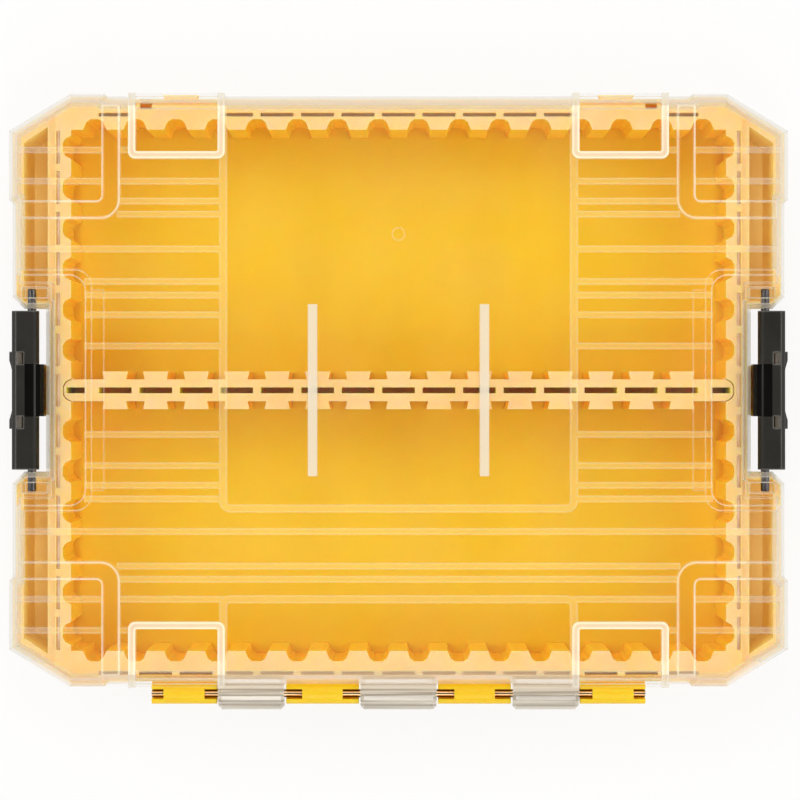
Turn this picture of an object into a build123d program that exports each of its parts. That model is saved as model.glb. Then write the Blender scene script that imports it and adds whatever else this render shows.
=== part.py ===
from build123d import *
import math
import os

# Bit storage case with a clear lid, in millimetres, +Z up.
# The origin is the centre of the flat underside. X runs along the case from latch to latch,
# and the hinge is along the back, at -Y. The lid is modelled closed.

os.makedirs("parts", exist_ok=True)

# Heights, of the base and of the lid from its own lower edge
base_height = 38.0
parting_gap = 0.3
lid_height = 16.5
stacking_rail_rise = 2.2
rib_rise = 1.0

# Plan of the closed case: how far its front and sides are from its two centre lines
front_y = 108.4
side_x = 143.7

# Corners, side steps and latch notches, measured in from the front and sides
corner_step_inset = 36.2
corner_step_run = 0.9
corner_cut_x_run = 22.4
corner_cut_y_run = 13.6
side_step_inset = 38.8
side_step_in = 1.3
latch_notch_depth = 13.7
latch_notch_y = 30.0
lug_chamfer = 4.4

# Walls of the base
floor_thickness = 2.2
flange_thickness = 4.0
flange_inset = 0.3
body_inset = 1.2
body_draft = 1.0
foot_bevel = 1.6
tongue_height = 2.0
tongue_clearance = 0.6
end_wall_thickness = 8.5
long_wall_thickness = 11.7

# Racks of grooves in the four inner walls
pitch = 15.03
tooth_tip_width = 6.4
tooth_root_width = 9.6
end_groove_depth = 3.1
long_groove_depth = 3.9
groove_corner_cut = 1.1

# Open pockets inside the double walls and the centre rail
pocket_length = 12.2
wall_pocket_width = 1.4
wall_pocket_depth = 8.0
end_pocket_depth = 5.0
pocket_skin = 1.0
rear_pocket_inset = 3.45

# Deep side wells outside the end racks
well_setback = 8.9
well_outer_wall = 4.4
well_start_gap = 3.2
well_corner_gap = 3.7
well_cut_run = 6.0
well_floor = 5.0

# Centre rail
rail_half_width = 4.06
rail_tooth_reach = 2.94
rail_tooth_root = 8.1
rail_tooth_crest = 9.4
rail_rise = 1.2
rail_pocket_width = 2.2
rail_pocket_depth = 24.0
rail_end_pocket_length = 6.8
rail_end_wall = 1.05
rail_end_clearance = 0.25

# Hinge along the back edge, its knuckles and barrels in turn from the middle out
hinge_setback = 4.2
hinge_pin_radius = 1.5
hinge_pin_overhang = 0.1
hinge_fit = 0.06
pin_end_chamfer = 0.4
middle_knuckle_half = 14.1
inner_barrel_length = 27.0
side_knuckle_length = 24.5
outer_barrel_length = 24.2
knuckle_gap = 0.6
barrel_radius = 3.9
knuckle_radius = 6.0
knuckle_relief = 0.4
knuckle_web_height = 5.7
knuckle_chamfer = 1.3
outer_window = 4.5
inner_window = 6.0
barrel_window_width = 3.7

# Lid
lid_wall = 2.0
bevel_rise = 7.7
bevel_inset = 4.0
latch_recess_roof = 5.0
latch_recess_x_margin = 15.1
latch_recess_y_margin = 2.7
latch_recess_radius = 6.0
recess_pad_width = 4.8
recess_pad_half_length = 36.8
recess_pad_depth = 0.6

# Window bosses on the front and back edges of the lid
boss_inner_x = 63.5
boss_length = 35.3
boss_depth = 23.7
boss_stand = 0.3
boss_frame_width = 2.6
boss_bottom_rise = 5.7
boss_root_depth = 5.0
boss_corner_radius = 2.5

# Finger tabs and slots on the front of the tray, under its window bosses
front_tab_start = 10.7
front_tab_length = 13.5
front_tab_slope = 1.6
front_tab_stand = 1.3
front_slot_end = 2.8
front_slot_length = 4.4
front_slot_width = 2.2
front_slot_inset = 3.0

# Stacking rails at the corners of the lid
stack_inset_x = 41.8
stack_inset_y = 45.7
stack_rail_width = 6.6
stack_outer_radius = 7.0
stack_inner_radius = 2.0

# Ribs and smooth panels of the lid
rib_width = 2.0
short_rib_rows = (16.2, 27.6, 34.8)
recess_rib_row = 39.8
wide_rib_rows = (51.7, 76.5)
middle_rib_rows = (64.4, 69.2)
edge_rib_inset = 20.5
panel_x = 64.2
panel_frame_width = 2.5
main_panel_back_y = -43.3
rear_panel_front_y = -76.5
panel_corner_radius = 4.0
gate_mark_radius = 2.3
gate_mark_depth = 0.3
gate_mark_y = 57.2

# Hold-down ribs that hang from the lid over the centre rail
hold_down_x = 31.5
hold_down_half_length = 31.4
hold_down_thickness = 3.2
hold_down_clearance = 0.6
hold_down_end_cut = 4.0

# Latch pins and the lid lugs that carry them
pivot_inset = 8.3
pivot_rise = 6.7
latch_pin_radius = 1.6
latch_pin_end_gap = 0.5
latch_fit = 0.05
lug_bearing_thickness = 4.1
lug_window_length = 3.8
lug_window_wall = 1.3
lug_window_reach = 3.0
lug_partition = 1.8

# Latches, their heights measured down from the pivot
latch_end_gap = 0.7
latch_hub_radius = 2.7
latch_face_inset = 1.0
latch_plate_thickness = 2.8
latch_edge_chamfer = 1.6
wing_drop = 15.0
grip_half_width = 14.3
grip_flare = 1.6
grip_bottom_drop = 28.0
grip_top_drop = 4.0
scoop_half_width = 11.0
scoop_depth = 2.0
scoop_lip = 3.0
block_half_width = 9.6
block_gap = 0.9
block_drop = 0.6
block_chamfer = 1.2
hook_root_thickness = 1.5
hook_reach = 5.4
hook_thickness = 4.0
sight_window_width = 2.4
sight_window_length = 4.4

# Catches on the ends of the base
catch_half_width = 9.2
catch_drop = 21.2
catch_thickness = 3.6
catch_clearance = 0.4
catch_nose_chamfer = 0.8
hook_clearance = 0.3
gusset_thickness = 2.0
gusset_rise = 6.0

# How far cutting tools reach past a surface, and joined solids into each other
overlap = 1.0

# Heights that follow from the sizes above
lid_bottom = base_height + parting_gap
deck_height = lid_bottom + lid_height
case_height = deck_height + stacking_rail_rise
bevel_start = lid_bottom + bevel_rise
boss_underside = lid_bottom + boss_bottom_rise
rail_top = base_height + rail_rise
pivot_z = lid_bottom + pivot_rise
latch_recess_floor = pivot_z + latch_recess_roof
latch_wing_bottom = pivot_z - wing_drop
grip_bottom = pivot_z - grip_bottom_drop
grip_top = pivot_z - grip_top_drop
catch_underside = pivot_z - catch_drop

# Places along X that follow from the side of the case
corner_step_x = side_x - corner_step_inset
corner_cut_x = side_x - corner_cut_x_run
latch_notch_x = side_x - latch_notch_depth
rack_tip_x = latch_notch_x - end_wall_thickness
end_root_x = rack_tip_x + end_groove_depth
well_inner_x = rack_tip_x + well_setback
well_outer_x = side_x - well_outer_wall
latch_recess_x = latch_notch_x - latch_recess_x_margin
stack_outer_x = side_x - stack_inset_x
boss_outer_x = boss_inner_x + boss_length
pivot_x = side_x - pivot_inset
lug_window_inner_x = latch_notch_x - lid_wall + lug_window_wall
lug_window_outer_x = pivot_x + lug_window_reach
latch_outer_x = side_x - latch_face_inset
latch_inner_x = latch_outer_x - latch_plate_thickness
grip_x = latch_outer_x + grip_flare
block_inner_x = latch_notch_x + block_gap
hook_root_x = latch_inner_x - hook_root_thickness
catch_outer_x = hook_root_x - catch_clearance

# Places along Y that follow from the front of the case and the latch notches
corner_y = front_y + corner_step_run
corner_cut_y = corner_y - corner_cut_y_run
side_step_y = front_y - side_step_inset
rack_tip_y = front_y - long_wall_thickness
long_root_y = rack_tip_y + long_groove_depth
hinge_y = -front_y - hinge_setback
front_tab_y = front_y + front_tab_stand
well_start_y = latch_notch_y + well_start_gap
well_cut_y = corner_cut_y - well_corner_gap
boss_back_y = front_y - boss_depth
boss_front_y = front_y + boss_stand
stack_outer_y = front_y - stack_inset_y
edge_rib_row = front_y - edge_rib_inset
bearing_end_y = latch_notch_y + lug_bearing_thickness
lug_window_end_y = bearing_end_y + lug_window_length
lug_end_y = lug_window_end_y + lug_partition
latch_recess_y = lug_end_y + latch_recess_y_margin
latch_half_length = latch_notch_y - latch_end_gap

# Spans of the hinge's knuckles and barrels on one side of the middle
inner_barrel_start = middle_knuckle_half + knuckle_gap
inner_barrel_end = inner_barrel_start + inner_barrel_length
side_knuckle_start = inner_barrel_end + knuckle_gap
side_knuckle_end = side_knuckle_start + side_knuckle_length
outer_barrel_start = side_knuckle_end + knuckle_gap
outer_barrel_end = outer_barrel_start + outer_barrel_length

# Mouth and root of a groove, and how many grooves and rail teeth fit
groove_half_mouth = (pitch - tooth_tip_width) / 2
groove_half_root = (pitch - tooth_root_width) / 2
end_grooves_each_way = int((rack_tip_y - groove_half_mouth) / pitch)
long_grooves_each_way = int((rack_tip_x - groove_half_mouth) / pitch + 0.5)
rail_teeth_each_way = int((rack_tip_x - rail_tooth_crest / 2) / pitch)


def block(x_range, y_range, z_range):
    """Box between the given limits."""
    (x0, x1), (y0, y1), (z0, z1) = x_range, y_range, z_range
    centre = Pos((x0 + x1) / 2, (y0 + y1) / 2, (z0 + z1) / 2)
    return centre * Box(x1 - x0, y1 - y0, z1 - z0)


def polygon(*points):
    """Flat face with straight edges."""
    return make_face(Polyline(*points, close=True))


def rise(plan, bottom, top):
    """A plan on the ground, extruded between two heights."""
    return extrude(Pos(0, 0, bottom) * plan, amount=top - bottom, dir=(0, 0, 1))


def across(profile, y_start, y_end):
    """A profile drawn in X and Z, extruded between two Y positions."""
    return extrude(Plane.XZ.offset(-y_start) * profile, amount=y_end - y_start, dir=(0, 1, 0))


def both_ends(shape):
    """The shape and its mirror image at the other end of the case."""
    return shape + mirror(shape, about=Plane.YZ)


def four_ways(shape):
    """The shape and its mirror images in both centre planes."""
    pair = both_ends(shape)
    return pair + mirror(pair, about=Plane.XZ)


def case_corners(inset):
    """Corners of the closed case's plan, clockwise, each moved in by inset."""
    side_inner_x = side_x - side_step_in
    quarter = [
        (corner_step_x, front_y),
        (corner_step_x + corner_step_run, corner_y),
        (corner_cut_x, corner_y),
        (side_x, corner_cut_y),
        (side_x, side_step_y + side_step_in / 2),
        (side_inner_x, side_step_y - side_step_in / 2),
        (side_inner_x, latch_notch_y + lug_chamfer),
        (side_inner_x - lug_chamfer, latch_notch_y),
        (latch_notch_x, latch_notch_y),
    ]
    right = quarter + [(x, -y) for x, y in reversed(quarter)]
    corners = [Vector(x, y) for x, y in right] + [Vector(-x, y) for x, y in reversed(right)]
    moved = []
    for index, corner in enumerate(corners):
        before = (corner - corners[index - 1]).normalized()
        after = (corners[(index + 1) % len(corners)] - corner).normalized()
        inward = Vector(before.Y + after.Y, -before.X - after.X)
        moved.append(corner + inward * (inset / (1 + before.dot(after))))
    return moved


def case_prism(bottom, top, low_inset, high_inset):
    """Solid between two heights whose plan is the case outline, with an inset at each height."""
    low = Pos(0, 0, bottom) * polygon(*case_corners(low_inset))
    if low_inset == high_inset:
        return extrude(low, amount=top - bottom, dir=(0, 0, 1))
    high = Pos(0, 0, top) * polygon(*case_corners(high_inset))
    return loft([low, high], ruled=True)


def groove_profile(depth):
    """One groove between two rack teeth, cut towards +Y, with its mouth on the X axis."""
    half_root = groove_half_root
    lip = groove_half_mouth + (groove_half_mouth - half_root) * overlap / depth
    face = polygon((-lip, -overlap), (-half_root, depth), (half_root, depth), (lip, -overlap))
    return chamfer(face.vertices().group_by(Axis.Y)[-1], groove_corner_cut)


def cavity():
    """Inside of the tray: the open middle and every groove of the four racks."""
    plan = [Rectangle(2 * rack_tip_x, 2 * rack_tip_y)]
    long_groove = groove_profile(long_groove_depth)
    for index in range(-long_grooves_each_way, long_grooves_each_way):
        x = (index + 0.5) * pitch
        plan.append(Pos(x, rack_tip_y) * long_groove)
        plan.append(Pos(x, -rack_tip_y) * Rot(0, 0, 180) * long_groove)
    end_groove = groove_profile(end_groove_depth)
    for index in range(-end_grooves_each_way, end_grooves_each_way + 1):
        y = index * pitch
        plan.append(Pos(rack_tip_x, y) * Rot(0, 0, -90) * end_groove)
        plan.append(Pos(-rack_tip_x, y) * Rot(0, 0, 90) * end_groove)
    return rise(Sketch() + plan, floor_thickness, base_height + tongue_height + overlap)


def wall_pockets():
    """Open-topped pockets inside the double walls, and a slot under each front window boss."""
    long_plan = []
    front_pocket_y = long_root_y + pocket_skin + wall_pocket_width / 2
    rear_pocket_y = front_y - rear_pocket_inset
    for index in range(1 - long_grooves_each_way, long_grooves_each_way):
        pocket = Pos(index * pitch, 0) * Rectangle(pocket_length, wall_pocket_width)
        long_plan.append(Pos(0, -rear_pocket_y) * pocket)
        if not boss_inner_x < abs(index) * pitch < boss_outer_x:
            long_plan.append(Pos(0, front_pocket_y) * pocket)
    slot_x = boss_outer_x - front_slot_end - front_slot_length / 2
    slot = Rectangle(front_slot_length, front_slot_width)
    long_plan += [Pos(x, front_y - front_slot_inset) * slot for x in (slot_x, -slot_x)]
    end_plan = []
    end_x = end_root_x + pocket_skin + wall_pocket_width / 2
    for index in range(-end_grooves_each_way, end_grooves_each_way + 1):
        pocket = Pos(0, index * pitch) * Rectangle(wall_pocket_width, pocket_length)
        end_plan += [Pos(x, 0) * pocket for x in (end_x, -end_x)]
    top = base_height + tongue_height
    deep = rise(Sketch() + long_plan, top - wall_pocket_depth, top + overlap)
    return deep + rise(Sketch() + end_plan, top - end_pocket_depth, top + overlap)


def side_well():
    """One deep well outside an end rack, its far corner cut along the corner of the case."""
    plan = polygon(
        (well_inner_x, well_start_y),
        (well_outer_x, well_start_y),
        (well_outer_x, well_cut_y),
        (well_inner_x, well_cut_y + well_cut_run),
    )
    return rise(plan, well_floor, base_height + overlap)


def front_tab():
    """Finger tab that stands out of the front of the flange, widest at its outer edge."""
    start = boss_inner_x + front_tab_start
    end = start + front_tab_length
    root_y = front_y - flange_inset - overlap
    plan = polygon(
        (start + front_tab_slope, root_y),
        (start, front_tab_y),
        (end, front_tab_y),
        (end - front_tab_slope, root_y),
    )
    return rise(plan, base_height - flange_thickness, base_height)


def along_hinge(radius, x_start, x_end):
    """Cylinder on the hinge axis between two X positions."""
    centre = Pos((x_start + x_end) / 2, hinge_y, base_height)
    return centre * Rot(0, 90, 0) * Cylinder(radius, x_end - x_start)


def barrel(x_start, x_end, window):
    """Hinge barrel of the base with its web, and a window at each end that shows the pin."""
    wall_y = -(front_y - flange_inset - overlap)
    solid = along_hinge(barrel_radius, x_start, x_end)
    solid += block((x_start, x_end), (hinge_y, wall_y), (base_height - barrel_radius, base_height))
    window_y = (hinge_y - barrel_window_width / 2, hinge_y + barrel_window_width / 2)
    for start in (x_start, x_end - window):
        solid -= block((start, start + window), window_y, (base_height, base_height + barrel_radius))
    return solid


def catch():
    """Catch that a latch hooks under, with two gussets above it."""
    root_x = latch_notch_x - body_inset - overlap
    top = catch_underside + catch_thickness
    nose_x = catch_outer_x - catch_nose_chamfer
    profile = polygon(
        (root_x, catch_underside),
        (catch_outer_x, catch_underside),
        (catch_outer_x, top - catch_nose_chamfer),
        (nose_x, top),
        (root_x, top),
    )
    solid = across(profile, -catch_half_width, catch_half_width)
    gusset = polygon((root_x, top), (nose_x, top), (root_x, top + gusset_rise))
    for y in (-catch_half_width, catch_half_width - gusset_thickness):
        solid += across(gusset, y, y + gusset_thickness)
    return solid


def knuckle_spans():
    """X ranges of the three lid knuckles."""
    middle = (-middle_knuckle_half, middle_knuckle_half)
    return [(-side_knuckle_end, -side_knuckle_start), middle, (side_knuckle_start, side_knuckle_end)]


def base_tray():
    """The yellow base: tapered body, flange, tabs, tongue, racks, pockets, wells, barrels, catches."""
    foot_inset = body_inset + base_height * math.tan(math.radians(body_draft))
    solid = case_prism(foot_bevel, base_height, foot_inset, body_inset)
    solid += case_prism(0, foot_bevel, foot_inset + foot_bevel, foot_inset)
    solid += case_prism(base_height - flange_thickness, base_height, flange_inset, flange_inset)
    solid += both_ends(front_tab())
    tongue_inset = lid_wall + tongue_clearance
    tongue = case_prism(base_height - overlap, base_height + tongue_height, tongue_inset, tongue_inset)
    tongue_x = latch_notch_x - tongue_inset
    solid += tongue & block((-tongue_x, tongue_x), (-front_y, front_y), (0, case_height))
    relief_radius = knuckle_radius + knuckle_relief
    for x_start, x_end in knuckle_spans():
        solid -= along_hinge(relief_radius, x_start - knuckle_relief, x_end + knuckle_relief)
    solid += both_ends(barrel(outer_barrel_start, outer_barrel_end, outer_window))
    solid += both_ends(barrel(inner_barrel_start, inner_barrel_end, inner_window))
    solid -= along_hinge(hinge_pin_radius + hinge_fit, -side_x, side_x)
    solid += both_ends(catch())
    solid -= cavity()
    solid -= wall_pockets()
    return solid - four_ways(side_well())


def centre_rail():
    """Toothed divider along the middle, hollow between its webs, whose ends fit the end grooves."""
    end_x = end_root_x - rail_end_clearance
    end_half = groove_half_root - rail_end_clearance
    shoulder_half = min(rail_half_width, groove_half_mouth - rail_end_clearance)
    shoulder_x = rack_tip_x - rail_end_clearance
    flank = Vector(rack_tip_x - end_x, shoulder_half - end_half).normalized() * groove_corner_cut
    upper = [
        (shoulder_x, rail_half_width),
        (rack_tip_x, shoulder_half),
        (end_x + flank.X, end_half + flank.Y),
        (end_x, end_half - groove_corner_cut),
    ]
    right = upper + [(x, -y) for x, y in reversed(upper)]
    crest_y = rail_half_width + rail_tooth_reach
    tooth = polygon(
        (-rail_tooth_root / 2, 0),
        (-rail_tooth_root / 2, rail_half_width),
        (-rail_tooth_crest / 2, crest_y),
        (rail_tooth_crest / 2, crest_y),
        (rail_tooth_root / 2, rail_half_width),
        (rail_tooth_root / 2, 0),
    )
    plan = [polygon(*right, *[(-x, -y) for x, y in right])]
    pockets = []
    for index in range(-rail_teeth_each_way, rail_teeth_each_way + 1):
        place = Pos(index * pitch, 0)
        plan += [place * tooth, place * Rot(0, 0, 180) * tooth]
        pockets.append(place * Rectangle(pocket_length, rail_pocket_width))
    end_pocket_x = end_x - rail_end_wall - rail_end_pocket_length / 2
    end_pocket = Rectangle(rail_end_pocket_length, rail_pocket_width)
    pockets += [Pos(x, 0) * end_pocket for x in (end_pocket_x, -end_pocket_x)]
    solid = rise(Sketch() + plan, floor_thickness, rail_top)
    return solid - rise(Sketch() + pockets, rail_top - rail_pocket_depth, rail_top + overlap)


def hinge_pin():
    """Steel rod through all the hinge barrels and knuckles."""
    end = outer_barrel_end + hinge_pin_overhang
    rod = along_hinge(hinge_pin_radius, -end, end)
    return chamfer(rod.edges().filter_by(GeomType.CIRCLE), pin_end_chamfer)


def window_boss(inset):
    """Body of one boss that stands out of the lid's bevelled edge, moved in by inset."""
    x_range = (boss_inner_x + inset, boss_outer_x - inset)
    y_range = (front_y - boss_root_depth, boss_front_y - inset)
    return block(x_range, y_range, (boss_underside + inset, deck_height - inset))


def lid_form(inset):
    """Outside of the lid up to its deck, or its inside when moved in by the wall."""
    slope = bevel_inset / (deck_height - bevel_start)
    bevel_bottom = bevel_start - inset * math.tan(math.atan(slope) / 2)
    top = deck_height - inset
    bottom = lid_bottom - overlap if inset else lid_bottom
    solid = case_prism(bottom, bevel_bottom, inset, inset)
    solid += case_prism(bevel_bottom, top, inset, inset + (top - bevel_bottom) * slope)
    solid += four_ways(window_boss(inset))
    recess = Rectangle(2 * (side_x - latch_recess_x + inset), 2 * (latch_recess_y + inset))
    recess = fillet(recess.vertices(), latch_recess_radius)
    return solid - both_ends(rise(Pos(side_x, 0) * recess, latch_recess_floor - inset, case_height))


def corner_band(x, y, width, radius, inner_radius):
    """Plan of an L-shaped band of one width, from its outer corner out to the case edges."""
    reach_x = 2 * (side_x - x)
    reach_y = 2 * (boss_front_y - y)
    outer = fillet(Rectangle(reach_x, reach_y).vertices(), radius)
    inner = fillet(Rectangle(reach_x - 2 * width, reach_y - 2 * width).vertices(), inner_radius)
    band = Pos(side_x, boss_front_y) * (outer - inner)
    return band & Pos(side_x / 2, boss_front_y / 2) * Rectangle(side_x, boss_front_y)


def open_frame(x_start, x_end, y_back, y_open, width, radius):
    """Plan of a three-sided frame that is open at y_open."""
    length = 2 * abs(y_open - y_back)
    inner_radius = max(radius - width, radius / 4)
    outer = fillet(Rectangle(x_end - x_start, length).vertices(), radius)
    inner = fillet(Rectangle(x_end - x_start - 2 * width, length - 2 * width).vertices(), inner_radius)
    side = 1 if y_back > y_open else -1
    half = Pos(0, side * length / 4) * Rectangle(2 * side_x, length / 2)
    return Pos((x_start + x_end) / 2, y_open) * ((outer - inner) & half)


def rib(y, x_start, x_end):
    """Plan of one straight rib along X."""
    return Pos((x_start + x_end) / 2, y) * Rectangle(x_end - x_start, rib_width)


def low_deck_plan():
    """Plan of the low ribs and of the frames round the two smooth panels."""
    half = panel_frame_width / 2
    frame_x = panel_x + half
    main_back = main_panel_back_y - half
    rear_front = rear_panel_front_y + half
    plan = [
        open_frame(-frame_x, frame_x, main_back, front_y, panel_frame_width, panel_corner_radius),
        open_frame(-frame_x, frame_x, rear_front, -front_y, panel_frame_width, panel_corner_radius),
    ]
    rows = [rib(y, panel_x, latch_recess_x) for y in short_rib_rows]
    rows.append(rib(recess_rib_row, panel_x, latch_recess_x))
    rows += [rib(y, panel_x, side_x) for y in wide_rib_rows]
    rows += [rib(y, panel_x, stack_outer_x + overlap) for y in middle_rib_rows]
    rows.append(rib(edge_rib_row, boss_outer_x - boss_frame_width / 2, side_x))
    for row in rows:
        turned = [row, mirror(row, about=Plane.XZ)]
        plan += turned + [mirror(half_row, about=Plane.YZ) for half_row in turned]
    plan += [rib(-y, -panel_x, panel_x) for y in (wide_rib_rows[0], *middle_rib_rows)]
    return Sketch() + plan


def tall_deck_plan():
    """Plan of the four corner rails and of the frames on the four window bosses."""
    rail = corner_band(
        stack_outer_x, stack_outer_y, stack_rail_width, stack_outer_radius, stack_inner_radius
    )
    frame = open_frame(
        boss_inner_x, boss_outer_x, boss_back_y, boss_front_y, boss_frame_width, boss_corner_radius
    )
    right = [rail, frame]
    right += [mirror(shape, about=Plane.XZ) for shape in right]
    return Sketch() + right + [mirror(shape, about=Plane.YZ) for shape in right]


def deck_details():
    """Rails, frames and ribs that stand on the deck of the lid, cut off at its edge."""
    root = deck_height - lid_wall / 2
    tall = rise(tall_deck_plan(), root, case_height)
    low = rise(low_deck_plan(), root, deck_height + rib_rise)
    edge = case_prism(lid_bottom, case_height, bevel_inset, bevel_inset)
    bosses = block((boss_inner_x, boss_outer_x), (0, boss_front_y), (lid_bottom, case_height))
    return (tall + low) & (edge + four_ways(bosses))


def hold_down_rib():
    """One rib that hangs from the lid over the centre rail, cut off at its lower corners."""
    bottom = rail_top + hold_down_clearance
    top = deck_height - lid_wall / 2
    half = hold_down_half_length
    cut = hold_down_end_cut
    right = [(half, top), (half, bottom + cut), (half - cut, bottom)]
    profile = polygon(*right, *[(-y, z) for y, z in reversed(right)])
    start = hold_down_x - hold_down_thickness / 2
    return extrude(Plane.YZ.offset(start) * profile, amount=hold_down_thickness, dir=(1, 0, 0))


def knuckle(x_start, x_end):
    """Hinge knuckle of the lid with the web that joins it to the back wall."""
    solid = along_hinge(knuckle_radius, x_start, x_end)
    solid = chamfer(solid.edges().filter_by(GeomType.CIRCLE), knuckle_chamfer)
    top = base_height + knuckle_web_height
    wall_y = -(front_y - lid_wall / 2)
    return solid + block((x_start, x_end), (hinge_y, wall_y), (lid_bottom, top))


def recess_pad():
    """Thicker strip on the underside of the deck, beside a latch recess."""
    outer_x = latch_recess_x - lid_wall / 2
    inner_x = latch_recess_x - lid_wall - recess_pad_width
    top = deck_height - lid_wall / 2
    bottom = deck_height - lid_wall - recess_pad_depth
    return block((inner_x, outer_x), (-recess_pad_half_length, recess_pad_half_length), (bottom, top))


def lid():
    """The clear lid: bevelled shell, deck details, latch lugs, hinge knuckles and hold-down ribs."""
    form = lid_form(0)
    lug = block(
        (latch_notch_x - lid_wall, side_x),
        (latch_notch_y, lug_end_y),
        (lid_bottom, latch_recess_floor),
    )
    window = block(
        (lug_window_inner_x, lug_window_outer_x),
        (bearing_end_y, lug_window_end_y),
        (lid_bottom + lid_wall, case_height),
    )
    solid = form - lid_form(lid_wall)
    solid += both_ends(recess_pad())
    solid += form & four_ways(lug)
    solid -= four_ways(window)
    solid += deck_details()
    solid += both_ends(hold_down_rib())
    for x_start, x_end in knuckle_spans():
        solid += knuckle(x_start, x_end)
    solid -= along_hinge(hinge_pin_radius + hinge_fit, -side_x, side_x)
    solid -= both_ends(latch_rod(latch_pin_radius + latch_fit, lug_window_end_y))
    gate = Pos(0, gate_mark_y, deck_height) * Cylinder(gate_mark_radius, 2 * gate_mark_depth)
    return solid - gate


def latch_rod(radius, half_length):
    """Rod on the right latch's pivot line."""
    return Pos(pivot_x, 0, pivot_z) * Rot(90, 0, 0) * Cylinder(radius, 2 * half_length)


def latch_pin():
    """Dark steel rod that carries the right latch between its two lid lugs."""
    rod = latch_rod(latch_pin_radius, lug_window_end_y - latch_pin_end_gap)
    return chamfer(rod.edges().filter_by(GeomType.CIRCLE), pin_end_chamfer)


def latch_wing():
    """Full-length upper plate of the right latch, wrapped round its pin."""
    top = pivot_z + latch_hub_radius
    profile = polygon(
        (pivot_x, top),
        (latch_outer_x - latch_edge_chamfer, top),
        (latch_outer_x, top - latch_edge_chamfer),
        (latch_outer_x, latch_wing_bottom),
        (latch_inner_x, latch_wing_bottom),
        (latch_inner_x, pivot_z - latch_edge_chamfer),
        (latch_inner_x - latch_edge_chamfer, pivot_z),
        (pivot_x, pivot_z),
    )
    plate = across(profile, -latch_half_length, latch_half_length)
    return plate + latch_rod(latch_hub_radius, latch_half_length)


def latch_grip():
    """Middle of the right latch: a tab that flares out to a scooped finger grip."""
    profile = polygon(
        (latch_inner_x, grip_top + grip_flare),
        (latch_outer_x, grip_top + grip_flare),
        (grip_x, grip_top),
        (grip_x, grip_bottom + grip_flare / 2),
        (grip_x - grip_flare / 2, grip_bottom),
        (latch_inner_x, grip_bottom),
    )
    solid = across(profile, -grip_half_width, grip_half_width)
    scoop_radius = (scoop_half_width**2 + scoop_depth**2) / (2 * scoop_depth)
    scoop = Pos(grip_x - scoop_depth + scoop_radius, 0) * Circle(scoop_radius)
    return solid - rise(scoop, grip_bottom + scoop_lip, case_height)


def latch_hook():
    """Solid core of the right latch, from over its pin down to the hook under the catch."""
    top = pivot_z + latch_hub_radius - block_drop
    hook_top = catch_underside - hook_clearance
    hook_bottom = hook_top - hook_thickness
    hook_tip_x = hook_root_x - hook_reach
    profile = polygon(
        (block_inner_x + block_chamfer, top),
        (latch_inner_x + hook_root_thickness, top),
        (latch_inner_x + hook_root_thickness, hook_bottom),
        (hook_tip_x + block_chamfer, hook_bottom),
        (hook_tip_x, hook_bottom + block_chamfer),
        (hook_tip_x, hook_top),
        (hook_root_x, hook_top),
        (hook_root_x, lid_bottom),
        (block_inner_x + block_chamfer, lid_bottom),
        (block_inner_x, lid_bottom + block_chamfer),
        (block_inner_x, top - block_chamfer),
    )
    return across(profile, -block_half_width, block_half_width)


def latch():
    """The right latch: wing plate, finger grip, hook core and two sight windows, bored for its pin."""
    solid = latch_wing() + latch_grip() + latch_hook()
    window_start = latch_inner_x + hook_root_thickness / 2 - sight_window_width
    window_x = (window_start, window_start + sight_window_width)
    for side in (-1, 1):
        y_range = sorted((side * block_half_width, side * (block_half_width + sight_window_length)))
        solid -= block(window_x, y_range, (latch_wing_bottom, case_height))
    return solid - latch_rod(latch_pin_radius + latch_fit, latch_half_length + overlap)


def save(name, shape):
    """Write one node as its own STEP file."""
    export_step(shape, f"parts/{name}.step")


save("base_tray", base_tray())
save("centre_rail", centre_rail())
save("hinge_pin", hinge_pin())
save("lid", lid())
save("latch_pin_right", latch_pin())
save("latch_pin_left", mirror(latch_pin(), about=Plane.YZ))
save("latch_right", latch())
save("latch_left", mirror(latch(), about=Plane.YZ))
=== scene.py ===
import bpy
import bmesh
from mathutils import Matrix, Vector

# Looks of the bit storage case, in metres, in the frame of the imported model:
# the origin is the centre of the underside, +X is the right latch, the hinge is at -Y.

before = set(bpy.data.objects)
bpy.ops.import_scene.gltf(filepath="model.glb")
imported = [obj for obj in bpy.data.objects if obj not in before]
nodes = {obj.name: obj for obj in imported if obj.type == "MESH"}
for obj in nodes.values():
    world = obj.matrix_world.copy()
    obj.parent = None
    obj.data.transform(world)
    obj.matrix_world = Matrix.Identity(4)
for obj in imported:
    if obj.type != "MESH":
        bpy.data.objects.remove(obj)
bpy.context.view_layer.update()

MM = 0.001


# Camera, straight above the case as in the photograph

VIEW_CENTRE = Vector((0.55 * MM, -3.6 * MM, 45 * MM))
VIEW_WIDTH = 295.5 * MM
CAMERA_RISE = 1.1
SENSOR = 36.0

camera_data = bpy.data.cameras.new("Camera")
camera_data.sensor_width = SENSOR
camera_data.lens = SENSOR * CAMERA_RISE / VIEW_WIDTH
camera = bpy.data.objects.new("Camera", camera_data)
camera.location = VIEW_CENTRE + Vector((0, 0, CAMERA_RISE))
bpy.context.scene.collection.objects.link(camera)
bpy.context.scene.camera = camera
bpy.context.scene.view_settings.view_transform = "Standard"


# Places on the case, in millimetres. Wide is the distance from the middle towards either
# end, deep from the middle towards the front or the back, along is positive to the front
# and up is the height over the underside. A pair is a range, a single number a limit.

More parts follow.
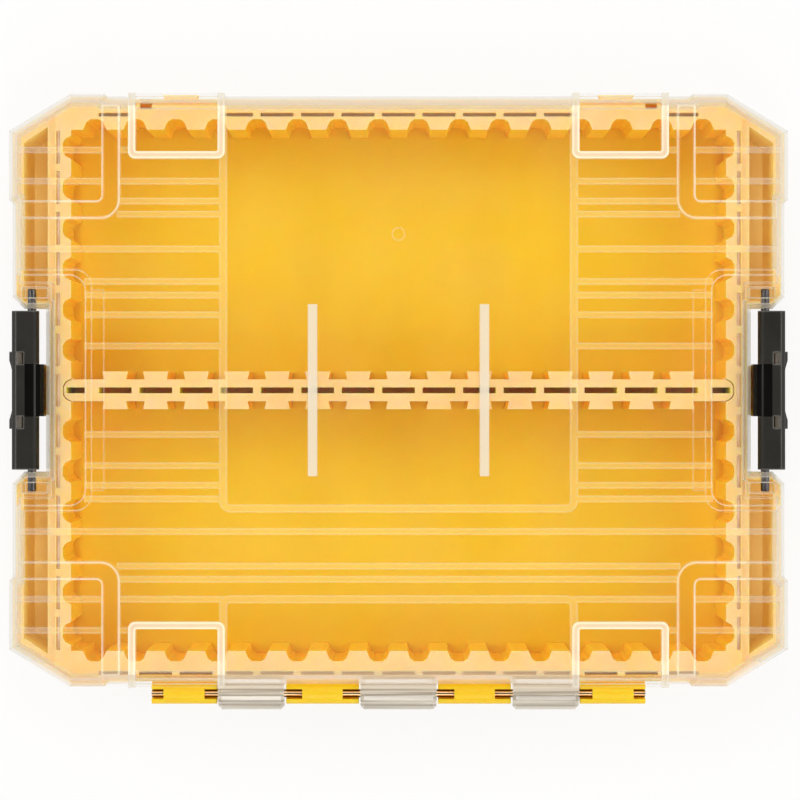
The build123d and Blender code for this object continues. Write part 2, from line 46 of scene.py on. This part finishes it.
# Tray
WALL_TOPS_UP = 37.6
BARRELS_ALONG = -107.5
ROOM_WIDE, ROOM_DEEP = 125.3, 100.5
WELL_WIDE, WELL_DEEP, WELL_UP = (130.2, 139.5), (33.0, 98.3), (4.9, 37.9)
CORNER_SLANT, CORNER_REACH = 0.64, 182.3
END_POCKETS_WIDE, END_POCKETS_DEEP = (125.4, 127.2), 98.0
SIDE_POCKETS_WIDE, SIDE_POCKETS_DEEP = 118.0, (100.7, 105.8)
RAIL_GAP_WIDE, RAIL_GAP_DEEP = (120.9, 125.3), 4.6
WALL_POCKETS_UP = (29.8, 37.9)
RAIL_POCKETS_WIDE, RAIL_POCKETS_DEEP, RAIL_POCKETS_UP = 124.5, 1.3, (15.0, 39.1)

# Lid and hinge
DECK_TOP = 54.8
TALL_RIBS_UP = DECK_TOP + 1.8
LOW_RIBS_UP = DECK_TOP + 0.6
DECK_EDGES_UP = DECK_TOP - 4.0
HANGING_RIB_WIDE, HANGING_RIB_HALF, HANGING_RIB_DEEP = 31.5, 1.65, 31.45
BOSS_WIDE, BOSS_DEEP = (63.0, 99.3), 84.3
OVER_TRAY_WIDE, OVER_TRAY_DEEP = 127.0, 104.0
BACK_BEVEL_ALONG = -100.0
KNUCKLES_ALONG = -109.1
KNUCKLE_ROOTS_ALONG = -110.4
HINGE_Y = -112.6

# Latches
CORE_DEEP, CORE_WIDE = 9.7, 137.8


# Colours

YELLOW_LIGHT = (0.95, 0.58, 0.009, 1)
YELLOW_DEEP = (0.93, 0.55, 0.009, 1)
YELLOW_UPRIGHT_PAINTED_LIGHT = (0.95, 0.63, 0.02, 1)
YELLOW_WELL_PAINTED_LIGHT = (1.0, 0.83, 0.3, 1)
YELLOW_POCKET_PAINTED_LIGHT = (1.0, 0.93, 0.8, 1)
YELLOW_RAIL_PAINTED_LIGHT = (1.0, 0.92, 0.03, 1)
YELLOW_PAINTED_SHEEN = (0.9, 0.65, 0.36, 1)

BLACK_DEEP = (0.011, 0.0095, 0.007, 1)
BLACK_LIGHT = (0.016, 0.0135, 0.01, 1)
BLACK_EDGE_HIGHLIGHT = (0.17, 0.165, 0.15, 1)
BLACK_CORE_PAINTED_SHADE = (0.0015, 0.001, 0.0005, 1)

CLEAR = (0.998, 0.996, 0.99, 1)
GLINT_BORDER = (0.75, 0.7, 0.58, 1)
GLINT_OVER_TRAY = (1.0, 0.96, 0.77, 1)
GLINT_LOW_RIB = (1.0, 0.86, 0.4, 1)
GLINT_HANGING_RIB = (0.8, 0.75, 0.6, 1)
GLINT_BEVEL = (0.66, 0.61, 0.5, 1)
GLINT_BACK_BEVEL = (0.84, 0.67, 0.46, 1)
KNUCKLE_GLINT_DARK = (0.47, 0.425, 0.345, 1)
KNUCKLE_GLINT_LIGHT = (0.7, 0.645, 0.54, 1)
KNUCKLE_ROOT_GLINT = (0.84, 0.75, 0.6, 1)

# The hinge pin's warm brown tint is painted reflection of the yellow tray around it.
PIN_STEEL_WARM_REFLECTION = (0.85, 0.6, 0.36, 1)
DARK_STEEL = (0.12, 0.11, 0.11, 1)
FLOOR_GREY = (0.82, 0.82, 0.82, 1)
WHITE = (1, 1, 1, 1)

PLASTIC_IOR = 1.5


# Short ways to make nodes

class Maker:
    """Adds linked nodes to one material's tree."""

    def __init__(self, name):
        self.material = bpy.data.materials.new(name)
        self.material.use_nodes = True
        self.tree = self.material.node_tree
        self.tree.nodes.clear()
        self.output = self.tree.nodes.new("ShaderNodeOutputMaterial")

    def node(self, kind, inputs=None, **settings):
        made = self.tree.nodes.new(kind)
        for name, value in settings.items():
            setattr(made, name, value)
        for name, value in (inputs or {}).items():
            self.put(made.inputs[name], value)
        return made

    def put(self, socket, value):
        if isinstance(value, bpy.types.NodeSocket):
            self.tree.links.new(value, socket)
        else:
            socket.default_value = value

    def math(self, operation, first, second=0.0, clamp=False):
        made = self.node("ShaderNodeMath", {0: first, 1: second}, operation=operation, use_clamp=clamp)
        return made.outputs[0]

    def size(self, value):
        """The value without its sign."""
        return self.math("ABSOLUTE", value)

    def both(self, first, second):
        """Product of two masks, or of a mask and an amount."""
        return self.math("MULTIPLY", first, second)

    def either(self, first, second):
        """The larger of two masks."""
        return self.math("MAXIMUM", first, second)

    def opposite(self, mask):
        return self.math("SUBTRACT", 1.0, mask)

    def above(self, value, limit):
        """One where the value is over a limit given in millimetres."""
        return self.math("GREATER_THAN", value, limit * MM)

    def below(self, value, limit):
        """One where the value is under a limit given in millimetres."""
        return self.math("LESS_THAN", value, limit * MM)

    def within(self, value, low, high):
        """One where the value lies between two limits given in millimetres."""
        return self.both(self.above(value, low), self.below(value, high))

    def spread(self, value, low, high, to_low=0.0, to_high=1.0):
        """Value carried from one range to another, clamped at both ends."""
        inputs = {"Value": value, "From Min": low, "From Max": high, "To Min": to_low, "To Max": to_high}
        return self.node("ShaderNodeMapRange", inputs).outputs["Result"]

    def choose(self, mask, plain, masked):
        """One number outside a mask and another inside it."""
        return self.spread(mask, 0.0, 1.0, plain, masked)

    def colours(self, factor, first, second):
        """Mix of two colours by a factor."""
        made = self.node("ShaderNodeMix", data_type="RGBA")
        self.put(made.inputs[0], factor)
        self.put(made.inputs[6], first)
        self.put(made.inputs[7], second)
        return made.outputs[2]

    def shaders(self, factor, first, second):
        """Mix of two shaders by a factor."""
        inputs = {0: factor, 1: first.outputs[0], 2: second.outputs[0]}
        return self.node("ShaderNodeMixShader", inputs)

    def place(self):
        """X, Y and Z of the point in the part's frame."""
        place = self.node("ShaderNodeTexCoord").outputs["Object"]
        return self.node("ShaderNodeSeparateXYZ", {"Vector": place}).outputs

    def facing(self):
        """How far the surface faces up, from minus one to one."""
        normal = self.node("ShaderNodeTexCoord").outputs["Normal"]
        return self.node("ShaderNodeSeparateXYZ", {"Vector": normal}).outputs["Z"]

    def noise(self, scale, detail=2.0, roughness=0.5):
        place = self.node("ShaderNodeTexCoord").outputs["Object"]
        inputs = {"Vector": place, "Scale": scale, "Detail": detail, "Roughness": roughness}
        return self.node("ShaderNodeTexNoise", inputs).outputs["Fac"]

    def patches(self, scale, detail, low=0.0, high=1.0):
        """Soft uneven patches between two values."""
        return self.spread(self.noise(scale, detail), 0.3, 0.7, low, high)

    def bump(self, height, strength, distance):
        inputs = {"Height": height, "Strength": strength, "Distance": distance}
        return self.node("ShaderNodeBump", inputs).outputs["Normal"]

    def grain(self, scale, strength):
        """Normal of a fine spark-eroded surface."""
        return self.bump(self.noise(scale, 2, 0.6), strength, 0.0002)

    def rim(self, radius, start=0.995, full=0.86):
        """One along the edges of a shape, where a rounded edge would turn the surface."""
        rounded = self.node("ShaderNodeBevel", {"Radius": radius}, samples=4).outputs[0]
        flat = self.node("ShaderNodeNewGeometry").outputs["Normal"]
        turned = self.node("ShaderNodeVectorMath", {0: rounded, 1: flat}, operation="DOT_PRODUCT")
        return self.spread(turned.outputs["Value"], start, full)

    def finish(self, shader):
        self.tree.links.new(shader.outputs[0], self.output.inputs["Surface"])
        return self.material


# Tray and centre rail

def tray_hollows(make, wide, deep, up):
    """Masks of the side wells, of the pockets and gaps in the walls, and of the rail's pockets."""
    to_corner = make.math("ADD", deep, make.math("MULTIPLY", wide, CORNER_SLANT))
    wells = make.both(make.within(wide, *WELL_WIDE), make.within(deep, *WELL_DEEP))
    wells = make.both(wells, make.both(make.within(up, *WELL_UP), make.below(to_corner, CORNER_REACH)))
    in_ends = make.both(make.within(wide, *END_POCKETS_WIDE), make.below(deep, END_POCKETS_DEEP))
    in_sides = make.both(make.within(deep, *SIDE_POCKETS_DEEP), make.below(wide, SIDE_POCKETS_WIDE))
    in_gaps = make.both(make.within(wide, *RAIL_GAP_WIDE), make.below(deep, RAIL_GAP_DEEP))
    walls = make.either(make.either(in_ends, in_sides), in_gaps)
    walls = make.both(walls, make.within(up, *WALL_POCKETS_UP))
    rail = make.both(make.below(deep, RAIL_POCKETS_DEEP), make.within(up, *RAIL_POCKETS_UP))
    rail = make.both(rail, make.below(wide, RAIL_POCKETS_WIDE))
    return wells, walls, rail


def yellow_plastic():
    """Satin yellow plastic that lets a little light through, with a painted sheen on the tops of its
    walls and painted light on its upright faces and in its wells and pockets.
    """
    make = Maker("tray_plastic")
    across, along, up = make.place()
    wide, deep = make.size(across), make.size(along)
    facing = make.facing()
    wells, walls, rail = tray_hollows(make, wide, deep, up)

    # Painted sheen: the tops of the walls are painted a patchy pale cream, standing in for the overhead
    # light they reflect.
    tops = make.both(make.math("GREATER_THAN", facing, 0.9), make.above(up, WALL_TOPS_UP))
    tops = make.both(tops, make.above(along, BARRELS_ALONG))
    painted_sheen = make.both(tops, make.patches(90, 3, 0.6, 0.85))
    # Painted light: the upright faces inside the room are painted lighter and yellower than the floor.
    upright = make.both(make.below(wide, ROOM_WIDE), make.below(deep, ROOM_DEEP))
    upright = make.both(upright, make.math("LESS_THAN", make.size(facing), 0.5))

    base = make.colours(make.patches(22, 3), YELLOW_LIGHT, YELLOW_DEEP)
    for mask, colour in (
        (upright, YELLOW_UPRIGHT_PAINTED_LIGHT),
        # Painted light: the deep side wells are painted much lighter, standing in for light reaching
        # down into them.
        (wells, YELLOW_WELL_PAINTED_LIGHT),
        # Painted light: the pockets in the walls are painted near white, standing in for light inside
        # them, and the gap around the rail's ends gets a painted highlight.
        (walls, YELLOW_POCKET_PAINTED_LIGHT),
        # Painted light: the rail's pockets are painted a brighter yellow, standing in for light inside
        # them.
        (rail, YELLOW_RAIL_PAINTED_LIGHT),
        (painted_sheen, YELLOW_PAINTED_SHEEN),
    ):
        base = make.colours(mask, base, colour)

    return make.finish(make.node("ShaderNodeBsdfPrincipled", {
        "Base Color": base,
        "Roughness": make.patches(140, 2, 0.34, 0.46),
        "IOR": PLASTIC_IOR,
        "Specular IOR Level": 0.3,
        "Subsurface Weight": make.choose(make.either(wells, walls), 0.6, 0.0),
        "Subsurface Radius": (1.0, 0.45, 0.06),
        "Subsurface Scale": 0.006,
        "Normal": make.grain(1500, 0.12),
    }))


# Latches

def black_plastic():
    """Black plastic with a fine grain and a painted highlight along its edges, smoother over the core of
    each latch and painted darker there as painted shade.
    """
    make = Maker("latch_plastic")
    across, along, _ = make.place()
    # Painted shade: the core of each latch is painted almost black, as if it lay in shadow.
    core = make.both(make.below(make.size(along), CORE_DEEP), make.below(make.size(across), CORE_WIDE))
    base = make.colours(make.patches(60, 3), BLACK_DEEP, BLACK_LIGHT)
    # Painted highlight: the edges are painted a lighter grey, as rounded edges catching the light.
    base = make.colours(make.rim(0.9 * MM), base, BLACK_EDGE_HIGHLIGHT)
    rough = make.patches(140, 2, 0.36, 0.48)

    return make.finish(make.node("ShaderNodeBsdfPrincipled", {
        "Base Color": make.colours(core, base, BLACK_CORE_PAINTED_SHADE),
        "Roughness": make.math("SUBTRACT", rough, make.math("MULTIPLY", core, 0.28)),
        "IOR": PLASTIC_IOR,
        "Specular IOR Level": 0.25,
        "Normal": make.grain(1800, make.choose(core, 0.3, 0.02)),
    }))


# Lid

def knuckle_lines(make, across, along):
    """Painted glint streaks along the hinge knuckles, from nought to one."""
    drawn_out = make.node("ShaderNodeCombineXYZ", {
        "X": make.math("MULTIPLY", across, 12.0),
        "Y": make.math("MULTIPLY", along, 1000.0),
    })
    inputs = {"Vector": drawn_out.outputs[0], "Scale": 1.0, "Detail": 2.0}
    return make.node("ShaderNodeTexNoise", inputs).outputs["Fac"]


def clear_plastic():
    """Clear lid plastic: see-through faces, with painted highlights on the edges, bevels, ribs and
    knuckles, standing in for the bright surroundings they refract and reflect.
    """
    make = Maker("clear_plastic")
    across, along, up = make.place()
    wide, deep = make.size(across), make.size(along)
    facing = make.facing()

    off_rib = make.size(make.math("SUBTRACT", wide, HANGING_RIB_WIDE * MM))
    hanging = make.both(make.below(off_rib, HANGING_RIB_HALF), make.below(deep, HANGING_RIB_DEEP))
    hanging = make.both(hanging, make.choose(make.above(up, DECK_TOP - 0.1), 0.3, 0.8))
    tall = make.above(up, TALL_RIBS_UP)
    low_rib = make.math("SUBTRACT", make.above(up, LOW_RIBS_UP), tall)
    by_deck = make.both(make.above(up, DECK_EDGES_UP), make.opposite(tall))
    boss = make.both(make.both(make.within(wide, *BOSS_WIDE), make.above(deep, BOSS_DEEP)), tall)
    bevel = make.both(make.math("GREATER_THAN", facing, 0.25), make.math("LESS_THAN", facing, 0.6))
    knuckle = make.below(along, KNUCKLES_ALONG)
    lines = knuckle_lines(make, across, along)
    edge = make.rim(make.choose(tall, 0.75 * MM, 1.6 * MM), 0.997, make.choose(tall, 0.86, 0.93))

    # How much painted highlight each place gets over a faint patchy haze, nought for see-through
    pale = make.patches(30, 3, 0.0, 0.012)
    for mask, amount in (
        (edge, make.choose(by_deck, 0.85, 0.3)),
        (bevel, 0.45),
        (low_rib, 0.22),
        (boss, 0.55),
        (knuckle, make.spread(lines, 0.35, 0.65, 0.6, 0.95)),
    ):
        pale = make.math("ADD", pale, make.both(mask, amount))
    pale = make.math("ADD", pale, hanging, clamp=True)

    # What colour the painted highlights have; the back bevel is painted warmer to cover the shade seen
    # through it
    over_tray = make.both(make.below(wide, OVER_TRAY_WIDE), make.below(deep, OVER_TRAY_DEEP))
    over_tray = make.both(over_tray, make.opposite(hanging))
    tint = make.colours(low_rib, GLINT_OVER_TRAY, GLINT_LOW_RIB)
    tint = make.colours(over_tray, GLINT_BORDER, tint)
    tint = make.colours(hanging, tint, GLINT_HANGING_RIB)
    on_bevel = make.colours(make.below(along, BACK_BEVEL_ALONG), GLINT_BEVEL, GLINT_BACK_BEVEL)
    tint = make.colours(make.both(bevel, make.opposite(knuckle)), tint, on_bevel)
    # Painted reflection: the knuckles are streaked light and dark along their length, and paler at their
    # roots.
    on_knuckle = make.colours(make.spread(lines, 0.44, 0.56), KNUCKLE_GLINT_DARK, KNUCKLE_GLINT_LIGHT)
    on_knuckle = make.colours(make.above(along, KNUCKLE_ROOTS_ALONG), on_knuckle, KNUCKLE_ROOT_GLINT)
    tint = make.colours(knuckle, tint, on_knuckle)

    clear = make.node("ShaderNodeBsdfTransparent", {"Color": CLEAR})
    white = make.node("ShaderNodeBsdfDiffuse", {"Color": tint})
    glow = make.node("ShaderNodeBsdfTranslucent", {"Color": tint})
    inside = make.shaders(pale, clear, make.shaders(0.15, white, glow))
    ripple = make.bump(make.noise(55, 2), 0.06, 0.0004)
    mirror = make.node("ShaderNodeBsdfGlossy", {"Color": WHITE, "Roughness": 0.06, "Normal": ripple})
    outer = make.opposite(make.node("ShaderNodeNewGeometry").outputs["Backfacing"])
    gloss = make.both(make.node("ShaderNodeFresnel", {"IOR": PLASTIC_IOR}).outputs[0], outer)
    return make.finish(make.shaders(gloss, inside, mirror))


# Pins

REFLECTION_BAND_PITCH = 1.1 * MM
FULL_TURN = 6.283


def steel(name, colour, roughness, darker=0.6, axis_y=None):
    """Drawn rod, blotched, or, where it lies along X at axis_y, with painted reflection bands: even dark
    lines along its length.
    """
    make = Maker(name)
    tone = make.patches(260, 3)
    if axis_y is not None:
        # Painted reflection: even dark bands along the rod, spaced across its round.
        off_axis = make.math("SUBTRACT", make.place()[1], axis_y)
        wave = make.math("COSINE", make.math("MULTIPLY", off_axis, FULL_TURN / REFLECTION_BAND_PITCH))
        tone = make.spread(wave, -0.3, 0.5)
    dark = tuple(darker * c for c in colour[:3]) + (1,)
    return make.finish(make.node("ShaderNodeBsdfPrincipled", {
        "Base Color": make.colours(tone, colour, dark),
        "Metallic": 1.0,
        "Roughness": make.patches(420, 2, roughness - 0.08, roughness + 0.08),
        "Normal": make.bump(make.noise(900, 2), 0.15, 0.0001),
    }))


for material, names in (
    (yellow_plastic(), ("base_tray", "centre_rail")),
    (black_plastic(), ("latch_left", "latch_right")),
    (clear_plastic(), ("lid",)),
    (steel("pin_steel", PIN_STEEL_WARM_REFLECTION, 0.35, 0.12, HINGE_Y * MM), ("hinge_pin",)),
    (steel("dark_steel", DARK_STEEL, 0.32), ("latch_pin_left", "latch_pin_right")),
):
    for name in names:
        mesh = nodes[name].data
        mesh.materials.clear()
        mesh.materials.append(material)


# Floor, lamps and background

FLOOR_RADIUS = 6
FLOOR_DROP = 0.05 * MM
FLOOR_WHITENESS = 0.85
LAMP_AIM = Vector((0, 0, 0.03))
LAMPS = (
    ("Lamp_left", (-1.0, 0.45, 1.15), (0.9, 0.9), 7.6),
    ("Lamp_right", (1.05, -0.05, 1.0), (0.9, 0.9), 5.6),
    ("Lamp_back", (0, -0.8, 1.25), (0.35, 0.8), 5),
    ("Lamp_front", (0, 0.8, 1.25), (0.35, 0.8), 4),
)
SKY_RISE = {"From Min": 0.35, "From Max": 0.95, "To Min": 0.9, "To Max": 0.2}


def pale_floor():
    """Pale floor that keeps the shadow and meets the background without an edge."""
    make = Maker("floor")
    path = make.node("ShaderNodeLightPath").outputs
    seen = make.either(path["Is Camera Ray"], path["Is Glossy Ray"])
    seen = make.either(seen, path["Is Transmission Ray"])
    plain = make.node("ShaderNodeBsdfDiffuse", {"Color": FLOOR_GREY})
    white = make.node("ShaderNodeEmission", {"Color": WHITE, "Strength": 1.0})
    return make.finish(make.shaders(make.both(seen, FLOOR_WHITENESS), plain, white))


def floor_disc():
    """Large flat disc under the case."""
    form = bmesh.new()
    bmesh.ops.create_circle(form, cap_ends=True, segments=96, radius=FLOOR_RADIUS)
    mesh = bpy.data.meshes.new("Floor")
    form.to_mesh(mesh)
    form.free()
    disc = bpy.data.objects.new("Floor", mesh)
    disc.location.z = -FLOOR_DROP
    mesh.materials.append(pale_floor())
    bpy.context.scene.collection.objects.link(disc)


def lamp(name, place, size, watts):
    """Soft rectangular lamp aimed at the case."""
    data = bpy.data.lights.new(name, "AREA")
    data.shape = "RECTANGLE"
    data.size, data.size_y = size
    data.energy = watts
    made = bpy.data.objects.new(name, data)
    made.location = place
    made.rotation_euler = (Vector(place) - LAMP_AIM).to_track_quat("Z", "Y").to_euler()
    bpy.context.scene.collection.objects.link(made)


def studio_sky():
    """Plain pale surroundings, bright at the horizon and dimmer overhead."""
    world = bpy.data.worlds.new("World")
    world.use_nodes = True
    tree = world.node_tree
    place = tree.nodes.new("ShaderNodeTexCoord")
    split = tree.nodes.new("ShaderNodeSeparateXYZ")
    tree.links.new(place.outputs["Generated"], split.inputs[0])
    rise = tree.nodes.new("ShaderNodeMapRange")
    for name, value in SKY_RISE.items():
        rise.inputs[name].default_value = value
    tree.links.new(split.outputs["Z"], rise.inputs["Value"])
    back = tree.nodes["Background"]
    back.inputs["Color"].default_value = WHITE
    tree.links.new(rise.outputs["Result"], back.inputs["Strength"])
    bpy.context.scene.world = world


floor_disc()
for row in LAMPS:
    lamp(*row)
studio_sky()

# Enough bounces for light to reach the bottoms of the wells through the lid
bpy.context.scene.cycles.diffuse_bounces = 16
bpy.context.scene.cycles.transparent_max_bounces = 24
